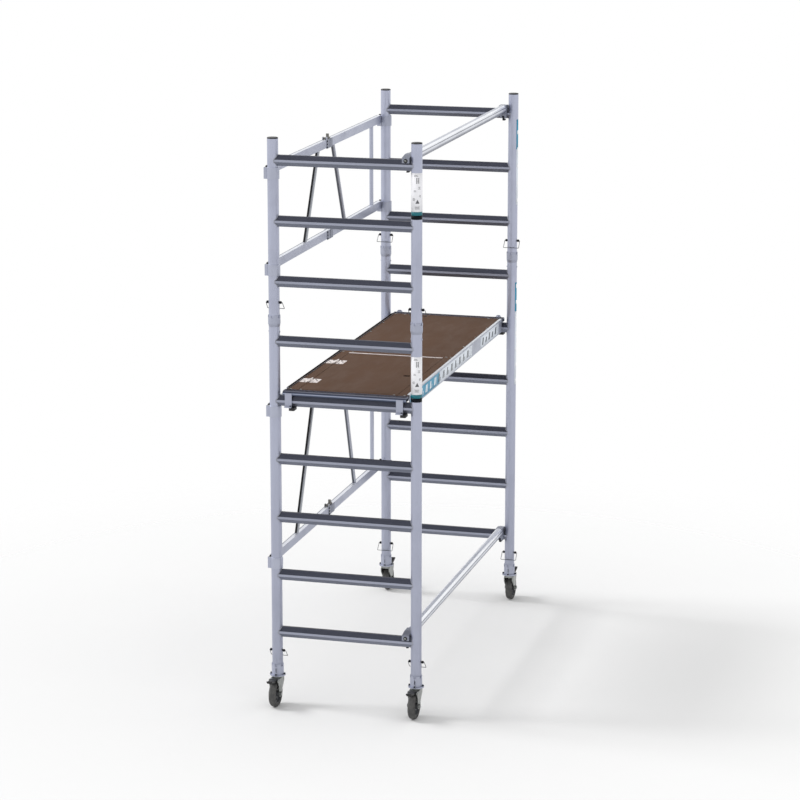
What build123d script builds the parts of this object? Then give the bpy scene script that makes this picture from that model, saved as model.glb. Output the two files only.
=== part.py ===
from build123d import *
import os

# Mobile tower scaffold. Millimetres, +Z up, +X to the right along the rungs, +Y to the rear.
# The origin is on the floor at the centre of the footprint.

# Driving dimensions
POST_SPACING_X = 679.0
POST_SPACING_Y = 1916.0
POST_RADIUS = 25.4
POST_WALL = 2.0
FRAME_TOP = 2705.0
CAP_THICKNESS = 5.0

RUNG_PITCH = 280.0
FIRST_RUNG = 366.0
LOWER_RUNGS = 6
UPPER_RUNGS = 3
RUNG_HALF_DEPTH = 23.0
RUNG_TOP_RISE = 20.0
RUNG_TOP_HALF = 7.0
RUNG_FACET_DROP = 11.0
RUNG_BOTTOM_DROP = 29.0
RUNG_BOTTOM_HALF = 11.0
RUNG_WALL = 2.2
RIB_COUNT = 6
RIB_DEPTH = 0.9

# Post joint: a cast spigot with a castellated cup on top of each lower post
JOINT_SEAT = 1869.0
CUP_DEPTH = 14.0
COLLAR_RADIUS = 28.5
CUP_RADIUS = 25.6
SPIGOT_RADIUS = 23.3
SPIGOT_BORE = 19.0
COLLAR_DROP = 26.0
TAPER_DROP = 40.0
SPIGOT_UP = 116.0
SPIGOT_DOWN = 44.0
LOBES = 6
LOBE_GAP = 10.0
RIVET_BELOW_COLLAR = 24.0
RIVET_RADIUS = 2.5
PIN_ABOVE_SEAT = 73.0
PIN_RADIUS = 5.0
PIN_HEAD_RADIUS = 6.5
PIN_HEAD_START = 28.0
PIN_HEAD_END = 36.0
WIRE_RADIUS = 1.4
WIRE_CLEARANCE = 0.08
BAIL_REACH = 29.0
BAIL_DROP = 34.0
HOLE_CLEARANCE = 0.1
FIT_CLEARANCE = 0.05

# Caster
SOCKET_SEAT = 188.0
SOCKET_BASE = 143.0
SOCKET_FLANGE_TOP = 149.0
SOCKET_FLANGE_RADIUS = 37.5
SCREW_CIRCLE = 33.0
SCREW_RADIUS = 2.5
SCREW_HEAD_RADIUS = 4.2
CASTER_PIN_ABOVE_SEAT = 78.0
WHEEL_RADIUS = 62.5
TYRE_HALF_WIDTH = 16.0
RIM_RADIUS = 47.0
HUB_HALF_WIDTH = 19.5
TRAIL = 38.0
AXLE_RADIUS = 6.0
FORK_INSIDE = 20.0
FORK_SHEET = 4.0
CROWN_TOP = 136.0
CROWN_THICKNESS = 6.0
KINGPIN_RADIUS = 6.0
PEDAL_PIVOT = (62.0, 131.0)
PEDAL_PIN_RADIUS = 3.0
PEDAL_HALF_WIDTH = 14.0

# Platform
DECK_RUNG = 5
DECK_HALF_WIDTH = 296.0
BEAM_BOTTOM = 1464.0
BEAM_TOP = 1534.0
BEAM_SHEET = 3.0
BEAM_FLANGE = 28.0
PANEL_TOP = 1530.0
PANEL_THICKNESS = 12.0
PANEL_HALF_LENGTH = 938.0
END_BEAM_IN = 40.0
END_BEAM_OUT = 24.0
END_BEAM_BOTTOM = 1511.0
GROOVE_COUNT = 5
GROOVE_PITCH = 6.5
HATCH_LEFT = -235.5
HATCH_RIGHT = 238.5
HATCH_FRONT = -912.0
HATCH_REAR = -98.0
HATCH_GAP = 2.0
HINGE_AXIS_Z = 1533.4
HINGE_PLATE_WIDTH = 80.0
HINGE_PLATES_Y = (-732.0, -304.0)
HINGE_SHEET = 2.0
HINGE_REACH = 44.0
BARREL_RADIUS = 3.2
HINGE_PIN_RADIUS = 1.5
BEAM_LIP = 12.0
POCKET_GAP = 0.5
FINGER_HOLE = (174.0, -518.0)
CROSS_MEMBERS_Y = (-75.0, 290.0, 640.0)
HOOK_X = 266.5
HOOK_HALF_WIDTH = 16.5
HOOK_LEG_OUT = 30.0
HOOK_FOOT_OUT = 41.0
HOOK_FOOT = (1455.0, 1461.0)
LOCK_PIVOT_OUT = 35.0
LOCK_PIVOT_ASIDE = 11.0
LOCK_PIN_RADIUS = 2.5

# Horizontal braces on the right-hand side
BRACE_X = 295.5
BRACE_RADIUS = 22.5
BRACE_RISE = 22.0
BRACE_RUNGS = (1, 9)
CLAW_HALF_WIDTH = 17.0
CLAW_BACK = 66.0
CLAW_PLUG_END = 96.0
TRIGGER_PIVOT = (32.5, -21.0)
TRIGGER_PIN_RADIUS = 2.5
TRIGGER_HALF_WIDTH = 5.5

# Folding side frame on the left-hand side
RAIL_OFFSET = 27.5
RAIL_HALF_WIDTH = 11.0
RAIL_HALF_HEIGHT = 20.0
RAIL_WALL = 2.0
LOWER_RAILS = (709.0, 1440.0)
UPPER_RAILS = (2105.0, 2553.0)
STRUT_RADIUS = 10.0
SLEEVE_BORE = 25.7
SLEEVE_RADIUS = 30.0
SLEEVE_HALF_HEIGHT = 26.0
SLEEVE_BELOW_RAIL = 11.5
SLEEVE_BLOCK_OUT = 39.0
SLEEVE_BLOCK_HALF = 16.0
FOLD_AXIS_OUT = 41.25
KNUCKLE_RADIUS = 5.0
FOLD_PIN_RADIUS = 2.5
FOLD_STRAP = 2.5
FOLD_RELIEF = 0.6
LEAF_GAP = 1.5
OPEN_PIVOT_GAP = 4.0
LATCH_PIVOT_Y = -46.0
LATCH_PIVOT_RISE = 7.0
LATCH_PIN_RADIUS = 2.0
LATCH_HALF_WIDTH = 7.0

# Worked out
HALF_X = POST_SPACING_X / 2
HALF_Y = POST_SPACING_Y / 2
COLLAR_BASE = JOINT_SEAT - TAPER_DROP
RAIL_X = -HALF_X - RAIL_OFFSET
FOLD_AXIS_X = -HALF_X - FOLD_AXIS_OUT
AXLE_Z = WHEEL_RADIUS
PANEL_BOTTOM = PANEL_TOP - PANEL_THICKNESS
HINGE_X = HATCH_LEFT - 1.5
RIVET_Z = COLLAR_BASE - RIVET_BELOW_COLLAR
PIN_LEVELS = {"caster": SOCKET_SEAT + CASTER_PIN_ABOVE_SEAT, "joint": JOINT_SEAT + PIN_ABOVE_SEAT}
POSTS = {
    "front_left": (-HALF_X, -HALF_Y),
    "front_right": (HALF_X, -HALF_Y),
    "rear_left": (-HALF_X, HALF_Y),
    "rear_right": (HALF_X, HALF_Y),
}


def rung_z(number):
    """Height of a rung's widest line; the first rung is number 1."""
    return FIRST_RUNG + RUNG_PITCH * (number - 1)


def block(x0, x1, y0, y1, z0, z1):
    """A box between two corners."""
    centre = Pos((x0 + x1) / 2, (y0 + y1) / 2, (z0 + z1) / 2)
    return centre * Box(abs(x1 - x0), abs(y1 - y0), abs(z1 - z0))


def rod(radius, start, end):
    """A round bar between two points."""
    start = Vector(*start)
    along = Vector(*end) - start
    return Solid.make_cylinder(radius, along.length, Plane(origin=start, z_dir=along))


def pipe(radius, wall, start, end):
    """A round tube between two points."""
    start = Vector(*start)
    end = Vector(*end)
    over = (end - start).normalized() * wall
    return rod(radius, start, end) - rod(radius - wall, start - over, end + over)


def turned(points):
    """A solid turned about the Z axis from (radius, height) points."""
    face = Plane.XZ * make_face(Polyline(*points, close=True))
    return revolve(face, Axis.Z)


def side_plate(points, x0, x1):
    """A plate with a (y, z) outline, standing between two x positions."""
    face = Plane.YZ * make_face(Polyline(*points, close=True))
    return Pos(x0, 0, 0) * extrude(face, x1 - x0)


def upright(shape, x, y, rear=False):
    """Put a shape made at the origin at a post; at the rear it is turned round."""
    turn = Rot(0, 0, 180) if rear else Rot(0, 0, 0)
    return Pos(x, y, 0) * turn * shape


def at_every_post(shape):
    """One copy of a shape at each post, turned round at the rear."""
    return [upright(shape, x, y, y > 0) for x, y in POSTS.values()]


def save(name, shapes):
    """Write one node as a STEP file of separate solids."""
    solids = []
    for shape in shapes:
        solids.extend(shape.solids())
    export_step(Compound(solids), f"parts/{name}.step")


# ---------------------------------------------------------------- end frames


def rung_section():
    """The rung's outline: ribbed upper slopes, an upright facet and a tapered underside."""
    rise = Vector(RUNG_TOP_HALF - RUNG_HALF_DEPTH, RUNG_TOP_RISE)
    inward = Vector(-RUNG_TOP_RISE, RUNG_TOP_HALF - RUNG_HALF_DEPTH).normalized() * RIB_DEPTH
    slope = []
    for i in range(RIB_COUNT):
        peak = Vector(RUNG_HALF_DEPTH, 0) + rise * (i / RIB_COUNT)
        valley = Vector(RUNG_HALF_DEPTH, 0) + rise * ((i + 0.5) / RIB_COUNT) + inward
        slope += [(peak.X, peak.Y), (valley.X, valley.Y)]
    half = [(RUNG_BOTTOM_HALF, -RUNG_BOTTOM_DROP), (RUNG_HALF_DEPTH, -RUNG_FACET_DROP)]
    half += slope + [(RUNG_TOP_HALF, RUNG_TOP_RISE)]
    other = [(-y, z) for y, z in reversed(half)]
    return half + other


def rung_hollow():
    """The hollow inside the rung's extrusion."""
    side = RUNG_HALF_DEPTH - RUNG_WALL
    top = (RUNG_TOP_HALF - 1, RUNG_TOP_RISE - RUNG_WALL - RIB_DEPTH)
    low = (RUNG_BOTTOM_HALF - 1, -RUNG_BOTTOM_DROP + RUNG_WALL)
    half = [low, (side, -RUNG_FACET_DROP + 1), (side - RIB_DEPTH, -1), top]
    return half + [(-y, z) for y, z in reversed(half)]


def rung():
    """One hollow rung, coped to fit the round posts at both ends."""
    bar = side_plate(rung_section(), -HALF_X, HALF_X)
    bar -= side_plate(rung_hollow(), -HALF_X, HALF_X)
    reach = RUNG_PITCH / 2
    for x in (-HALF_X, HALF_X):
        bar -= rod(POST_RADIUS, (x, 0, -reach), (x, 0, reach))
    return bar


def frame_rungs(first, count):
    """The rungs of the front and rear frames, from one number up."""
    bar = rung()
    places = [(y, rung_z(first + i)) for y in (-HALF_Y, HALF_Y) for i in range(count)]
    return [Pos(0, y, z) * bar for y, z in places]


def cross_hole(radius, z):
    """A drill through a post along X."""
    reach = COLLAR_RADIUS + 5
    return rod(radius, (-reach, 0, z), (reach, 0, z))


def lower_post():
    """A lower post: socketed on the caster below, riveted to the joint spigot above."""
    tube = pipe(POST_RADIUS, POST_WALL, (0, 0, SOCKET_SEAT), (0, 0, COLLAR_BASE))
    tube -= cross_hole(PIN_RADIUS + HOLE_CLEARANCE, PIN_LEVELS["caster"])
    return tube - cross_hole(RIVET_RADIUS + FIT_CLEARANCE, RIVET_Z)


def upper_post():
    """An upper post, standing in the cup of the joint spigot."""
    tube = pipe(POST_RADIUS, POST_WALL, (0, 0, JOINT_SEAT), (0, 0, FRAME_TOP - CAP_THICKNESS))
    return tube - cross_hole(PIN_RADIUS + HOLE_CLEARANCE, PIN_LEVELS["joint"])


def cup_gaps(seat):
    """The gaps that leave lobes standing round the rim of a cup."""
    half = LOBE_GAP / 2
    gap = block(CUP_RADIUS - 1, COLLAR_RADIUS + 2, -half, half, seat + 3, seat + CUP_DEPTH + 1)
    return [Rot(0, 0, 360 / LOBES * (i + 0.5)) * gap for i in range(LOBES)]


def joint_spigot():
    """The cast joint: a plug in the lower post, a collar with a cup, and a plug in the upper one."""
    seat = JOINT_SEAT
    body = turned(
        [
            (SPIGOT_BORE, COLLAR_BASE - SPIGOT_DOWN),
            (SPIGOT_RADIUS, COLLAR_BASE - SPIGOT_DOWN),
            (SPIGOT_RADIUS, COLLAR_BASE),
            (POST_RADIUS, COLLAR_BASE),
            (COLLAR_RADIUS, seat - COLLAR_DROP),
            (COLLAR_RADIUS, seat + CUP_DEPTH),
            (CUP_RADIUS, seat + CUP_DEPTH),
            (CUP_RADIUS, seat),
            (SPIGOT_RADIUS, seat),
            (SPIGOT_RADIUS, seat + SPIGOT_UP - 4),
            (SPIGOT_RADIUS - 2, seat + SPIGOT_UP),
            (SPIGOT_BORE, seat + SPIGOT_UP),
        ]
    )
    for gap in cup_gaps(seat):
        body -= gap
    body -= cross_hole(PIN_RADIUS + HOLE_CLEARANCE, PIN_LEVELS["joint"])
    return body - cross_hole(RIVET_RADIUS + FIT_CLEARANCE, RIVET_Z)


def spigot_rivets():
    """Two domed rivets through each lower post into its joint spigot."""
    rivet = rod(RIVET_RADIUS, (SPIGOT_BORE + 0.5, 0, RIVET_Z), (POST_RADIUS, 0, RIVET_Z))
    rivet += Pos(POST_RADIUS + 1.25, 0, RIVET_Z) * Rot(0, 90, 0) * Cone(5, 3, 2.5)
    both = [rivet, Rot(0, 0, 180) * rivet]
    return [Pos(x, y, 0) * one for x, y in POSTS.values() for one in both]


def lock_pin():
    """A cross pin with a head at each end, drilled for the wire bail."""
    head = rod(PIN_HEAD_RADIUS, (PIN_HEAD_START, 0, 0), (PIN_HEAD_END, 0, 0))
    head = chamfer(head.edges().filter_by(GeomType.CIRCLE).sort_by(Axis.X)[-1], 1.2)
    head -= rod(WIRE_RADIUS + WIRE_CLEARANCE, (PIN_HEAD_START + 1.5, 0, 0), (PIN_HEAD_END + 4, 0, 0))
    shank = rod(PIN_RADIUS, (-PIN_HEAD_START, 0, 0), (PIN_HEAD_START, 0, 0))
    return shank + head + mirror(head, Plane.YZ)


def wire_bail():
    """The wire loop that hangs from the pin's two ends round the inner side of the post."""
    corners = [
        (-30, 0, 0),
        (-39.2, 0, 0),
        (-40.6, BAIL_REACH, -BAIL_DROP),
        (40.6, BAIL_REACH, -BAIL_DROP),
        (39.2, 0, 0),
        (30, 0, 0),
    ]
    path = FilletPolyline(*corners, radius=2.8)
    section = Plane(origin=(-30, 0, 0), z_dir=(-1, 0, 0)) * Circle(WIRE_RADIUS)
    return sweep(section, path)


def lock_pins():
    """All the cross pins, two to a post."""
    pin = lock_pin()
    return [Pos(x, y, z) * pin for x, y in POSTS.values() for z in PIN_LEVELS.values()]


def bails():
    """The wire bails, each with its own name."""
    wire = wire_bail()
    made = {}
    for level, z in PIN_LEVELS.items():
        for name, (x, y) in POSTS.items():
            made[f"{level}_bail_{name}"] = Pos(0, 0, z) * upright(wire, x, y, y > 0)
    return made


def post_cap():
    """A plastic cap plugged into the top of a post."""
    top = FRAME_TOP
    plug = top - CAP_THICKNESS - 15
    return turned(
        [
            (0, plug),
            (POST_RADIUS - POST_WALL - 0.2, plug),
            (POST_RADIUS - POST_WALL - 0.2, top - CAP_THICKNESS),
            (POST_RADIUS, top - CAP_THICKNESS),
            (POST_RADIUS, top - 1.5),
            (POST_RADIUS - 1.5, top),
            (0, top),
        ]
    )


def build_end_frames():
    """The front and rear frames with their joints, pins and caps."""
    save("lower_posts", at_every_post(lower_post()))
    save("upper_posts", at_every_post(upper_post()))
    save("lower_rungs", frame_rungs(1, LOWER_RUNGS))
    save("upper_rungs", frame_rungs(LOWER_RUNGS + 1, UPPER_RUNGS))
    save("joint_spigots", at_every_post(joint_spigot()))
    save("spigot_rivets", spigot_rivets())
    save("post_lock_pins", lock_pins())
    save("post_caps", at_every_post(post_cap()))
    for name, wire in bails().items():
        save(name, [wire])


# ------------------------------------------------------------------- casters


def caster_socket():
    """The cast socket under a post: flange, collar with a cup, and a plug inside the post."""
    seat = SOCKET_SEAT
    body = turned(
        [
            (KINGPIN_RADIUS + 0.1, SOCKET_BASE),
            (SOCKET_FLANGE_RADIUS, SOCKET_BASE),
            (SOCKET_FLANGE_RADIUS, SOCKET_FLANGE_TOP),
            (COLLAR_RADIUS, SOCKET_FLANGE_TOP),
            (COLLAR_RADIUS, seat + CUP_DEPTH),
            (CUP_RADIUS, seat + CUP_DEPTH),
            (CUP_RADIUS, seat),
            (SPIGOT_RADIUS, seat),
            (SPIGOT_RADIUS, seat + SPIGOT_UP - 4),
            (SPIGOT_RADIUS - 2, seat + SPIGOT_UP),
            (SPIGOT_BORE, seat + SPIGOT_UP),
            (SPIGOT_BORE, SOCKET_BASE + 15),
            (KINGPIN_RADIUS + 0.1, SOCKET_BASE + 15),
        ]
    )
    for gap in cup_gaps(seat):
        body -= gap
    slit = block(-2, 2, -COLLAR_RADIUS - 2, COLLAR_RADIUS + 2, seat - 26, seat - 6)
    for x, y in screw_places():
        drill = SCREW_RADIUS + FIT_CLEARANCE
        body -= rod(drill, (x, y, SOCKET_BASE - 1), (x, y, SOCKET_FLANGE_TOP + 1))
    return body - slit - cross_hole(PIN_RADIUS + HOLE_CLEARANCE, PIN_LEVELS["caster"])


def screw_places():
    """Where the four flange screws stand, about the stem's axis."""
    return [(SCREW_CIRCLE, 0), (0, SCREW_CIRCLE), (-SCREW_CIRCLE, 0), (0, -SCREW_CIRCLE)]


def socket_screws():
    """The dark cap screws in the socket's flange."""
    made = []
    for x, y in screw_places():
        screw = rod(SCREW_RADIUS, (x, y, SOCKET_BASE), (x, y, SOCKET_FLANGE_TOP))
        head = rod(SCREW_HEAD_RADIUS, (x, y, SOCKET_FLANGE_TOP), (x, y, SOCKET_FLANGE_TOP + 5))
        made.append(screw + head)
    return [upright(one, x, y) for x, y in POSTS.values() for one in made]


def fork_leg():
    """One pressed cheek of the fork; the wheel trails towards -Y."""
    outline = [
        (24, 130),
        (24, 112),
        (-24, 60),
        (-52, 60),
        (-56, 100),
        (-69, 127),
        (-67, 138),
        (-54, 138),
        (-54, 130),
    ]
    inner, outer = FORK_INSIDE, FORK_INSIDE + FORK_SHEET
    leg = side_plate(outline, inner, outer)
    pivots = (
        (-TRAIL, AXLE_Z, 15, AXLE_RADIUS),
        (-PEDAL_PIVOT[0], PEDAL_PIVOT[1], 8, PEDAL_PIN_RADIUS),
    )
    for y, z, boss, _ in pivots:
        leg += rod(boss, (inner, y, z), (outer, y, z))
    for y, z, _, bore in pivots:
        leg -= rod(bore + FIT_CLEARANCE, (inner - 1, y, z), (outer + 1, y, z))
    return leg


def fork():
    """The swivel fork: crown, two cheeks, ball race, kingpin, axle bolt and pedal pin."""
    outside = FORK_INSIDE + FORK_SHEET
    crown = block(-outside, outside, -52, 24, CROWN_TOP - CROWN_THICKNESS, CROWN_TOP)
    crown = fillet(crown.edges().filter_by(Axis.Z), 10)
    crown_base = CROWN_TOP - CROWN_THICKNESS
    crown -= rod(KINGPIN_RADIUS + FIT_CLEARANCE, (0, 0, crown_base - 1), (0, 0, CROWN_TOP + 1))
    leg = fork_leg()
    race_radius = 27
    race_wall = race_radius - KINGPIN_RADIUS - 0.5
    race = pipe(race_radius, race_wall, (0, 0, CROWN_TOP), (0, 0, SOCKET_BASE - 0.3))
    kingpin = rod(KINGPIN_RADIUS, (0, 0, crown_base), (0, 0, SOCKET_BASE + 24))
    kingpin += rod(9, (0, 0, crown_base - 6), (0, 0, crown_base))
    nut_base = SOCKET_BASE + 15.3
    nut = Pos(0, 0, nut_base + 4) * extrude(RegularPolygon(10, 6), 4, both=True)
    nut -= rod(KINGPIN_RADIUS + 0.02, (0, 0, nut_base - 1), (0, 0, nut_base + 9))
    return [crown, leg, mirror(leg, Plane.YZ), race, kingpin, nut] + axle_parts(outside)


def axle_parts(outside):
    """The axle bolt with its head, the nut, and the pedal's pin."""
    bolt = rod(AXLE_RADIUS, (-outside - 9, -TRAIL, AXLE_Z), (outside, -TRAIL, AXLE_Z))
    hexagon = extrude(RegularPolygon(11, 6), 3.5, both=True)
    bolt += Pos(outside + 3.5, -TRAIL, AXLE_Z) * Rot(0, 90, 0) * hexagon
    nut = Pos(-outside - 3.5, -TRAIL, AXLE_Z) * Rot(0, 90, 0) * hexagon
    nut -= rod(AXLE_RADIUS + 0.02, (-outside - 9, -TRAIL, AXLE_Z), (-outside + 1, -TRAIL, AXLE_Z))
    y, z = -PEDAL_PIVOT[0], PEDAL_PIVOT[1]
    return [bolt, nut, rod(PEDAL_PIN_RADIUS, (-outside - 1, y, z), (outside + 1, y, z))]


def wheel_tyre():
    """The tyre, with a crowned tread."""
    w = TYRE_HALF_WIDTH
    r = WHEEL_RADIUS
    flat = w * 0.35
    shoulder = r - 5
    outline = Polyline((shoulder, -w), (RIM_RADIUS, -w), (RIM_RADIUS, w), (shoulder, w))
    outline += ThreePointArc((shoulder, w), (r - 1.2, w * 0.72), (r, flat))
    outline += Line((r, flat), (r, -flat))
    outline += ThreePointArc((r, -flat), (r - 1.2, -w * 0.72), (shoulder, -w))
    tyre = revolve(Plane.XZ * make_face(outline), Axis.Z)
    return Pos(0, -TRAIL, AXLE_Z) * Rot(0, 90, 0) * tyre


def wheel_hub():
    """The wheel's centre: a boss, a web with five holes and a rim."""
    w = TYRE_HALF_WIDTH - 2
    hub = turned(
        [
            (AXLE_RADIUS + 0.06, -HUB_HALF_WIDTH),
            (14, -HUB_HALF_WIDTH),
            (15, -5),
            (RIM_RADIUS - 6, -5),
            (RIM_RADIUS - 4, -w),
            (RIM_RADIUS, -w),
            (RIM_RADIUS, w),
            (RIM_RADIUS - 4, w),
            (RIM_RADIUS - 6, 5),
            (15, 5),
            (14, HUB_HALF_WIDTH),
            (AXLE_RADIUS + 0.06, HUB_HALF_WIDTH),
        ]
    )
    for hole in PolarLocations(28, 5):
        hub -= hole * Cylinder(8, 14)
    return Pos(0, -TRAIL, AXLE_Z) * Rot(0, 90, 0) * hub


def brake_pedal():
    """The brake pedal: a sleeve on its pin, a tread plate that slopes up, and a shoe above the tyre."""
    y, z = -PEDAL_PIVOT[0], PEDAL_PIVOT[1]
    outline = [(-60, 137), (-66, 127), (-98, 134), (-131, 143), (-134, 150), (-98, 141), (-66, 138)]
    pedal = side_plate(outline, -PEDAL_HALF_WIDTH, PEDAL_HALF_WIDTH)
    pedal += rod(6.5, (-FORK_INSIDE + 1, y, z), (FORK_INSIDE - 1, y, z))
    pedal += block(-11, 11, -74, -64, 119.8, 132)
    for i in range(5):
        ridge = -104 - 6 * i
        pedal += block(-12, 12, ridge - 1.2, ridge + 1.2, 138, 143.2 + 1.5 * i)
    return pedal - rod(PEDAL_PIN_RADIUS + 0.06, (-FORK_INSIDE, y, z), (FORK_INSIDE, y, z))


def build_casters():
    """Four braked casters; the front ones trail forward and the rear ones rearward."""
    save("caster_sockets", at_every_post(caster_socket()))
    save("socket_screws", socket_screws())
    pieces = {
        "fork": fork(),
        "tyre": [wheel_tyre()],
        "hub": [wheel_hub()],
        "brake_pedal": [brake_pedal()],
    }
    for post, (x, y) in POSTS.items():
        for piece, shapes in pieces.items():
            save(f"{piece}_{post}", [upright(one, x, y, y > 0) for one in shapes])


# ------------------------------------------------------------------ platform


def side_beam():
    """The right-hand side beam: a web, a bottom flange, a ledge for the panel and a top lip."""
    length = HALF_Y - END_BEAM_IN
    out = DECK_HALF_WIDTH
    beam = block(out - BEAM_SHEET, out, -length, length, BEAM_BOTTOM, BEAM_TOP)
    beam += block(out - BEAM_FLANGE, out, -length, length, BEAM_BOTTOM, BEAM_BOTTOM + BEAM_SHEET)
    beam += block(out - BEAM_FLANGE, out, -length, length, PANEL_BOTTOM - BEAM_SHEET, PANEL_BOTTOM)
    beam += block(out - BEAM_LIP, out, -length, length, PANEL_TOP + 0.5, BEAM_TOP)
    return beam


def end_beam():
    """The front end beam: a ridged profile that lies over the rung and carries the panel's edge."""
    front = -HALF_Y - END_BEAM_OUT
    back = -HALF_Y + END_BEAM_IN
    panel_edge = -PANEL_HALF_LENGTH - 0.5
    outline = [
        (front, END_BEAM_BOTTOM),
        (back, END_BEAM_BOTTOM),
        (back, PANEL_BOTTOM),
        (panel_edge, PANEL_BOTTOM),
        (panel_edge, PANEL_TOP + 1),
        (front + 8, PANEL_TOP + 1),
        (front, PANEL_TOP - 6),
    ]
    beam = side_plate(outline, -DECK_HALF_WIDTH, DECK_HALF_WIDTH)
    past = DECK_HALF_WIDTH + 1
    for i in range(GROOVE_COUNT):
        y = front + 12 + GROOVE_PITCH * i
        beam -= block(-past, past, y, y + 3, PANEL_TOP - 1.5, PANEL_TOP + 2)
    floor = END_BEAM_BOTTOM + BEAM_SHEET
    return beam - block(-past, past, front + 3, -HALF_Y + 16, floor, floor + 10)


def deck_hook():
    """A hook over the front rung: a saddle, two legs and a foot that carries the wind lock."""
    w = HOOK_HALF_WIDTH
    leg_face = END_BEAM_OUT
    saddle_bottom = rung_z(DECK_RUNG) + RUNG_TOP_RISE + 1
    front, back = -HALF_Y - HOOK_LEG_OUT, -HALF_Y + HOOK_LEG_OUT
    foot_bottom, foot_top = HOOK_FOOT
    hook = block(-w, w, front, back, saddle_bottom, END_BEAM_BOTTOM)
    hook += block(-w, w, front, -HALF_Y - leg_face, foot_bottom, PANEL_TOP - 8)
    hook += block(-w, w, -HALF_Y + leg_face, back, foot_bottom + 15, END_BEAM_BOTTOM)
    hook += block(-w, w, -HALF_Y - HOOK_FOOT_OUT, -HALF_Y - leg_face, foot_bottom, foot_top)
    x, y = LOCK_PIVOT_ASIDE, -HALF_Y - LOCK_PIVOT_OUT
    return hook - rod(LOCK_PIN_RADIUS + 0.06, (x, y, foot_bottom - 5), (x, y, foot_top + 9))


def wind_lock():
    """The turning latch under a hook; closed, it reaches under the rung."""
    x, y = LOCK_PIVOT_ASIDE, -HALF_Y - LOCK_PIVOT_OUT
    top = HOOK_FOOT[0] - 0.5
    plate = block(x - 6, x + 20, y - 6, y + 41, top - 12.5, top)
    plate = fillet(plate.edges().filter_by(Axis.Z), 4)
    plate += rod(LOCK_PIN_RADIUS, (x, y, top - 1), (x, y, HOOK_FOOT[1] + 2))
    return plate + rod(4, (x, y, HOOK_FOOT[1] + 0.3), (x, y, HOOK_FOOT[1] + 3))


def hatch_cut(gap, z0, z1):
    """The hatch's plan, grown by a gap."""
    return block(
        HATCH_LEFT - gap, HATCH_RIGHT + gap, HATCH_FRONT - gap, HATCH_REAR + gap, z0, z1
    )


def deck_panel():
    """The plywood panel: its long edges go under the beams' lips, and the hatch is cut out of it."""
    half = DECK_HALF_WIDTH - BEAM_SHEET - 0.5
    length = PANEL_HALF_LENGTH
    panel = block(-half, half, -length, length, PANEL_BOTTOM, PANEL_TOP)
    inner = DECK_HALF_WIDTH - BEAM_LIP - POCKET_GAP
    for side in (-1, 1):
        panel -= block(side * inner, side * half, -length, length, PANEL_TOP - 1, PANEL_TOP)
    for y in HINGE_PLATES_Y:
        panel -= hinge_pocket(y, -1)
    panel -= seam_strip(POCKET_GAP)
    return panel - hatch_cut(HATCH_GAP, PANEL_BOTTOM - 1, PANEL_TOP + 1)


def hatch_lid():
    """The plywood lid with its finger hole."""
    lid = hatch_cut(0, PANEL_BOTTOM, PANEL_TOP)
    for y in HINGE_PLATES_Y:
        lid -= hinge_pocket(y, 1)
    x, y = FINGER_HOLE
    hole = block(x - 16, x + 16, y - 12, y + 12, PANEL_TOP - 20, PANEL_TOP + 5)
    return lid - fillet(hole.edges().filter_by(Axis.Z), 8)


def hatch_frame():
    """Aluminium strips under the edge of the hatch, and the seam strip on top behind it."""
    top = PANEL_BOTTOM
    low = top - 4
    x0, x1, y0, y1 = HATCH_LEFT, HATCH_RIGHT, HATCH_FRONT, HATCH_REAR
    strips = [
        block(x0 - 14, x0 + 10, y0 - 4, y1 + 4, low, top),
        block(x1 - 10, x1 + 14, y0 - 4, y1 + 4, low, top),
        block(x0 + 10, x1 - 10, y0 - 4, y0 + 10, low, top),
        block(x0 + 10, x1 - 10, y1 - 10, y1 + 4, low, top),
    ]
    return strips + [seam_strip(0)]


def seam_strip(gap):
    """The strip let into the panel behind the hatch, grown sideways by a gap."""
    front, back = HATCH_REAR + 3 - gap, HATCH_REAR + 15 + gap
    return block(HATCH_LEFT - gap, HATCH_RIGHT + gap, front, back, PANEL_TOP - 1, PANEL_TOP + 2)


def hinge_pocket(y, direction):
    """The pocket that a hinge leaf lies in; direction is -1 on the panel and +1 on the lid."""
    half = HINGE_PLATE_WIDTH / 2 + POCKET_GAP
    reach = HINGE_X + direction * (HINGE_REACH + POCKET_GAP)
    return block(HINGE_X, reach, y - half, y + half, PANEL_TOP - HINGE_SHEET, PANEL_TOP + 1)


def hinge_leaf(y, direction, bore, spans):
    """A leaf with its knuckles; direction is -1 on the panel and +1 on the lid."""
    x, z = HINGE_X, HINGE_AXIS_Z
    half = HINGE_PLATE_WIDTH / 2
    low = PANEL_TOP - HINGE_SHEET
    leaf = block(x + direction * 6, x + direction * HINGE_REACH, y - half, y + half, low, PANEL_TOP)
    for a, b in spans:
        leaf += block(x + direction * 3, x + direction * 8, y + a, y + b, low, z)
        leaf += rod(BARREL_RADIUS, (x, y + a, z), (x, y + b, z))
        leaf += block(x, x + direction * 4, y + a, y + b, z - BARREL_RADIUS, z)
        if bore:
            leaf -= rod(bore, (x, y + a - 1, z), (x, y + b + 1, z))
    return leaf


def hinge_plates():
    """The fixed leaves of the hatch's hinges, with their pins."""
    half = HINGE_PLATE_WIDTH / 2
    spans = ((-half, -15.3), (15.3, half))
    made = []
    for y in HINGE_PLATES_Y:
        pin = rod(HINGE_PIN_RADIUS, (HINGE_X, y - half, HINGE_AXIS_Z), (HINGE_X, y + half, HINGE_AXIS_Z))
        made.append(hinge_leaf(y, -1, None, spans) + pin)
    return made


def hinge_straps():
    """The moving leaves of the hatch's hinges."""
    return [hinge_leaf(y, 1, HINGE_PIN_RADIUS + 0.06, ((-15, 15),)) for y in HINGE_PLATES_Y]


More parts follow.
